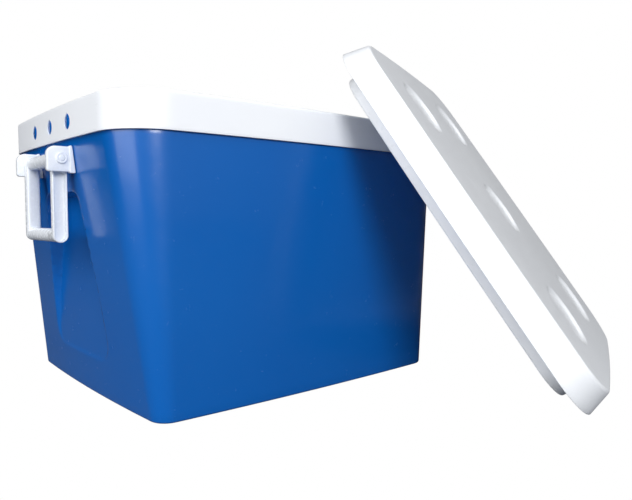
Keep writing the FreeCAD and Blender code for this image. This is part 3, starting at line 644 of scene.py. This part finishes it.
handle = {
    "drop": 83 * mm, "halfWidth": 52.5 * mm, "armThickness": 10 * mm, "armRadius": 7.75 * mm,
    "barRadius": 7.5 * mm, "armEdge": 3.2 * mm, "rimEdge": 0.6 * mm, "channelDepth": 5 * mm,
    "channelRim": 1.8 * mm, "channelStart": 19 * mm, "channelRound": 1.4 * mm,
    "boreRadius": 4.08 * mm, "boreDepth": 7.1 * mm, "boreStart": 1 * mm,
    "steps": 64, "boreSteps": 48,
}
lug = {
    "clearance": 0.5 * mm, "thickness": 7 * mm, "reach": 15 * mm, "top": 12.5 * mm,
    "bottom": 14.5 * mm, "bigRadius": 9 * mm, "smallRadius": 3 * mm, "edge": 1.1 * mm,
    "padThickness": 4.4 * mm, "padMargin": 1.2 * mm, "seatGap": 0.15 * mm,
    "padEdge": 0.6 * mm, "sharpRadius": 1.3 * mm,
    "pinRadius": 4 * mm, "pinBite": 7 * mm, "headRadius": 6.2 * mm, "headThickness": 2.4 * mm,
    "tipEdge": 0.4 * mm, "pinSteps": 56, "plateSteps": 72,
    # shares of the pin head's radius, and of its thickness
    "ringInside": 0.62, "grooveRadius": 0.56, "bossRadius": 0.5,
    "ringTop": 0.75, "ringBend": 0.4, "grooveTop": 0.66,
}


# Points (u, v) of an outline in the XZ plane, at a place y.
def uprightRow(outline, y):
    return np.column_stack([outline[:, 0], np.full(len(outline), y), outline[:, 1]])


# Bail: each arm is a stack of hull outlines, from its flat inner face, round its edge, over the
# rim and down into its channel. Two bars join the arms, and each arm has a blind bore.
def makeBail(axisX, axisZ):
    h = handle
    low = axisZ - h["drop"]
    arm = [(axisX, axisZ, h["armRadius"]), (axisX, low, h["armRadius"])]
    grooveRadius = h["armRadius"] - h["channelRim"]
    groove = [(axisX, axisZ - h["channelStart"], grooveRadius), (axisX, low, grooveRadius)]
    inner, outer = h["halfWidth"] - h["armThickness"], h["halfWidth"]
    rim, bend = quarterRound(h["rimEdge"], 3), quarterRound(h["channelRound"], 4)
    floor = outer - h["channelDepth"]
    layers = [(arm, out - h["armEdge"], inner + up) for out, up in quarterRound(h["armEdge"])]
    layers += [(arm, -up, outer - h["rimEdge"] + out) for out, up in rim]
    layers += [(groove, h["rimEdge"] - out, outer - up) for out, up in rim]
    layers += [(groove, -up, floor + h["channelRound"] - out) for out, up in bend]
    parts = []
    for side in (-1, 1):
        rows = [uprightRow(hullOutline(circles, h["steps"], grow), y * side)
                for circles, grow, y in layers]
        parts.append(loopMesh("arm", rows))
    for height in (axisZ, low):
        span = inner + h["armEdge"]
        rows = [uprightRow(hullOutline([(axisX, height, h["barRadius"])], h["steps"]), y)
                for y in np.linspace(-span, span, 5)]
        parts.append(loopMesh("bar", rows))
    bail = combineMeshes(parts[0], parts[1:], "UNION")
    bores = []
    for side in (-1, 1):
        rows = [uprightRow(hullOutline([(axisX, axisZ, h["boreRadius"])], h["boreSteps"]), y * side)
                for y in (outer - h["boreDepth"], outer + h["boreStart"])]
        bores.append(loopMesh("bore", rows))
    return combineMeshes(bail, bores, "DIFFERENCE")


# A plate of hull outlines from one face to the other, with rounded edges.
def plateMesh(circles, near, far, edge):
    step = math.copysign(1, far - near)
    bend = quarterRound(edge, 4)
    layers = [(out - edge, near + up * step) for out, up in bend]
    layers += [(out - edge, far - up * step) for out, up in bend[::-1]]
    return loopMesh("plate", [uprightRow(hullOutline(circles, lug["plateSteps"], grow), y)
                              for grow, y in layers])


# Lug: a cheek and a pad behind it, joined. Their inner edges follow the tapered wall.
def makeLug(axisX, axisZ, end, side):
    s = lug
    top, low = axisZ + s["top"], axisZ - s["bottom"]
    small, big = s["smallRadius"], s["bigRadius"]
    outerX = abs(axisX) + s["reach"]
    inside = handle["halfWidth"] + s["clearance"]

    def seated(height, radius):  # a circle that just clears the wall
        return ((wallLength(height) / 2 + s["seatGap"] + radius) * end, height, radius)

    sharp = s["sharpRadius"]
    cheek = [((outerX - big) * end, top - big, big), ((outerX - small) * end, low + small, small),
             seated(top - sharp, sharp), seated(low + sharp, sharp)]
    margin = s["padMargin"]
    padX = wallLength(axisZ) / 2 + s["padThickness"]
    pad = [((padX - sharp) * end, top + margin - sharp, sharp),
           ((padX - sharp) * end, low - margin + sharp, sharp),
           seated(top + margin - sharp, sharp), seated(low - margin + sharp, sharp)]
    outside = inside + s["thickness"]
    return combineMeshes(plateMesh(cheek, inside * side, outside * side, s["edge"]),
                         [plateMesh(pad, inside * side, (outside + margin) * side, s["padEdge"])],
                         "UNION")


# Pin: a lathed shape round the hinge's axis. Its head has a raised ring and a raised middle.
def makePin(axisX, axisZ, side):
    s = lug
    face = handle["halfWidth"] + s["clearance"] + s["thickness"]
    head, thick = s["headRadius"], s["headThickness"]
    tip = handle["halfWidth"] - s["pinBite"]
    ringTop, bend, boss = face + thick * s["ringTop"], thick * s["ringBend"], head * s["bossRadius"]
    profile = [(s["pinRadius"] - s["tipEdge"], tip), (s["pinRadius"], tip + s["tipEdge"]),
               (s["pinRadius"], face), (head, face), (head, ringTop - bend)]
    profile += [(head - up, ringTop - bend + out) for out, up in quarterRound(bend, 4)]
    profile += [(head * s["ringInside"], ringTop),
                (head * s["grooveRadius"], face + thick * s["grooveTop"]), (boss, ringTop)]
    profile += [(boss - up, ringTop + out)
                for out, up in quarterRound(thick * (1 - s["ringTop"]), 4)]
    rows = [uprightRow(hullOutline([(axisX, axisZ, radius)], s["pinSteps"]), y * side)
            for radius, y in profile]
    return loopMesh("pin", rows)


for endName, end in (("left", -1), ("right", 1)):
    axisX, _, axisZ = joints[f"{endName}_handle_swing"]["pos_m"]
    addPiece(f"{endName}Bail", makeBail(axisX, axisZ), handlePlastic,
             f"{endName}_handle", [f"{endName}_bail"])
    for sideName, side in (("front", -1), ("back", 1)):
        place = f"{endName}_{sideName}"
        label = endName + sideName.capitalize()
        addPiece(label + "Lug", makeLug(axisX, axisZ, end, side), handlePlastic,
                 "tub", [f"{place}_lug"])
        addPiece(label + "Pin", makePin(axisX, axisZ, side), handlePlastic,
                 "tub", [f"{place}_pivot_pin"])
print("handles made")

# pieces that keep their own shape from the frame
kept = {"body_foam": foamCore, "lid_foam": foamCore}
for place in ("left_front", "left_back", "right_front", "right_back"):
    kept[f"{place}_backing_block"] = handlePlastic
    kept[f"{place}_lug_screws"] = screwSteel
for node, material in kept.items():
    slots = frame["nodes"][node].data.materials
    slots.clear()
    slots.append(material)

studio = {
    "floor": "#6C6F74", "floorReach": 6.0,
    "brightSide": (-0.55, -0.7, 0.45), "bright": "#FFFFFF", "dark": "#101216",
    "brightStrength": 0.55, "rampStart": -0.2, "rampEnd": 0.9,
}


# The floor: grey paint for light and reflections, and plain white where it is seen.
def makeFloor():
    mesh = bpy.data.meshes.new("floor")
    reach = studio["floorReach"]
    corners = [(-reach, -reach, 0), (reach, -reach, 0), (reach, reach, 0), (-reach, reach, 0)]
    mesh.from_pydata(corners, [], [(0, 1, 2, 3)])
    material = bpy.data.materials.new("paintedStudioFloor")
    material.use_nodes = True
    tree = material.node_tree
    tree.nodes.clear()
    seen = addNode(tree, "ShaderNodeLightPath", {}).outputs["Is Camera Ray"]
    paint = addNode(tree, "ShaderNodeBsdfDiffuse", {"Color": linearColour(studio["floor"])})
    glow = addNode(tree, "ShaderNodeEmission", {"Color": (1, 1, 1, 1), "Strength": 1.0})
    mixed = addNode(tree, "ShaderNodeMixShader", {0: seen, 1: paint.outputs[0],
                                                  2: glow.outputs[0]})
    addNode(tree, "ShaderNodeOutputMaterial", {"Surface": mixed.outputs[0]})
    mesh.materials.append(material)
    floor = bpy.data.objects.new("floor", mesh)
    bpy.context.scene.collection.objects.link(floor)


# The room: white where it is seen, and for light and reflections a soft wall of light on one
# side that fades to a dark one opposite.
def makeWorld():
    world = bpy.data.worlds.new("studio")
    world.use_nodes = True
    tree = world.node_tree
    tree.nodes.clear()
    facing = addNode(tree, "ShaderNodeTexCoord", {}).outputs["Generated"]
    toward = addNode(tree, "ShaderNodeVectorMath", {0: facing, 1: studio["brightSide"]},
                     operation="DOT_PRODUCT")
    ramp = addNode(tree, "ShaderNodeMapRange", {"Value": toward.outputs["Value"],
                                                "From Min": studio["rampStart"],
                                                "From Max": studio["rampEnd"]},
                   interpolation_type="SMOOTHSTEP")
    colour = mixColours(tree, ramp.outputs["Result"], studio["dark"], studio["bright"])
    room = addNode(tree, "ShaderNodeBackground", {"Color": colour,
                                                  "Strength": studio["brightStrength"]})
    seenWhite = addNode(tree, "ShaderNodeBackground", {"Color": (1, 1, 1, 1), "Strength": 1.0})
    seen = addNode(tree, "ShaderNodeLightPath", {}).outputs["Is Camera Ray"]
    mixed = addNode(tree, "ShaderNodeMixShader", {0: seen, 1: room.outputs[0],
                                                  2: seenWhite.outputs[0]})
    addNode(tree, "ShaderNodeOutputWorld", {"Surface": mixed.outputs[0]})
    bpy.context.scene.world = world


lights = {
    "keyFront": {"place": (-0.8, -2.3, 1.15), "aim": (0, 0, 0.2), "size": (0.9, 0.9), "watts": 39},
    "fillLeft": {"place": (-2.1, -0.3, 1.1), "aim": (0, 0, 0.2), "size": (2.0, 2.0), "watts": 37},
    "fillRight": {"place": (1.2, -0.9, 2.0), "aim": (0.1, -0.4, 0.2), "size": (1.2, 1.2),
                  "watts": 11},
}


def makeLight(name, look):
    light = bpy.data.lights.new(name, "AREA")
    light.shape = "RECTANGLE"
    light.size, light.size_y = look["size"]
    light.energy = look["watts"]
    lamp = bpy.data.objects.new(name, light)
    place = Vector(look["place"])
    facing = (Vector(look["aim"]) - place).to_track_quat("-Z", "Y")
    lamp.matrix_world = Matrix.Translation(place) @ facing.to_matrix().to_4x4()
    bpy.context.scene.collection.objects.link(lamp)


camera = {"place": (-0.46287, -0.7211, 0.20778), "yaw": 49.325, "dip": 3.238, "roll": 0.025,
          "lens": 33.98}


def makeCamera():
    data = bpy.data.cameras.new("camera")
    data.sensor_fit, data.sensor_width, data.lens = "HORIZONTAL", 36, camera["lens"]
    yaw, dip = math.radians(camera["yaw"]), math.radians(camera["dip"])
    ahead = Vector((math.cos(dip) * math.cos(yaw), math.cos(dip) * math.sin(yaw), -math.sin(dip)))
    right = ahead.cross(Vector((0, 0, 1))).normalized()
    up = right.cross(ahead)
    turned = Matrix((right, up, -ahead)).transposed().to_4x4()
    eye = bpy.data.objects.new("camera", data)
    eye.matrix_world = (Matrix.Translation(camera["place"]) @ turned
                        @ Matrix.Rotation(math.radians(-camera["roll"]), 4, "Z"))
    bpy.context.scene.collection.objects.link(eye)
    bpy.context.scene.camera = eye


makeFloor()
makeWorld()
for name, look in lights.items():
    makeLight(name, look)
makeCamera()
bpy.context.scene.view_settings.view_transform = "Standard"
print("studio made")
